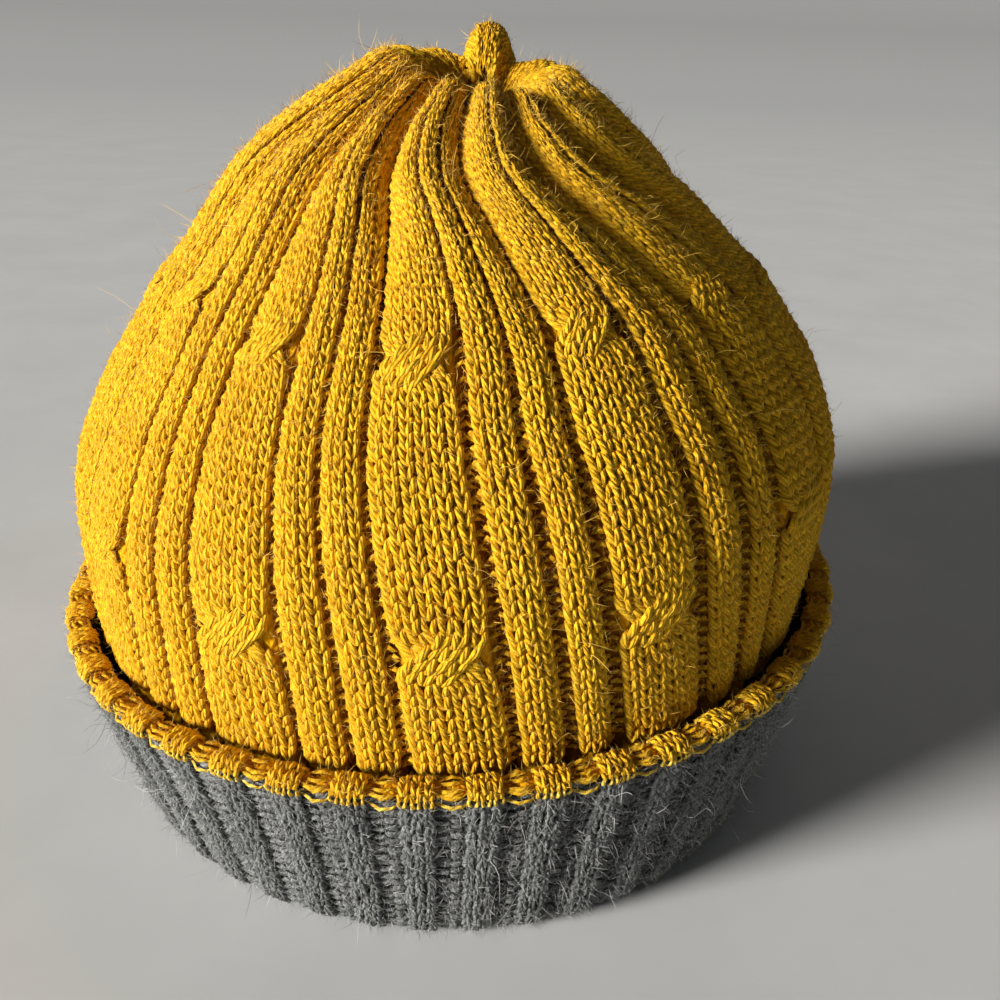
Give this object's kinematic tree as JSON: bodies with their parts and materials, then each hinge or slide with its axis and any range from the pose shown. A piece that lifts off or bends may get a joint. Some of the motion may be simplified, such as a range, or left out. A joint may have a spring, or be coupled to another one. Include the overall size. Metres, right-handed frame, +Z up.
{
  "type": "beanie",
  "caption": "Knitted winter beanie with a ribbed and cabled crown gathered at the top, and a ribbed cuff turned up under a rolled edge.",
  "frame": {"origin": "centre of the hat on the plane that the fold of its cuff rests on", "axes": "+Z up through the gathered top, +X to the right seen from the front, -Y to the front, which is the side that the gathered top leans to"},
  "size_m": [0.2099, 0.21, 0.1922],
  "materials": {
    "mustard_knit": "soft brushed wool knit, mustard yellow, matt with a fine haze of fibres",
    "mustard_edge": "rolled ribbed edge in the same mustard yellow wool",
    "grey_knit": "fuzzy ribbed wool knit, mid grey melange, matt"
  },
  "bodies": {
    "root": {"crown": "mustard_knit", "rolled_edge": "mustard_edge", "cuff": "grey_knit"}
  },
  "joints": []
}
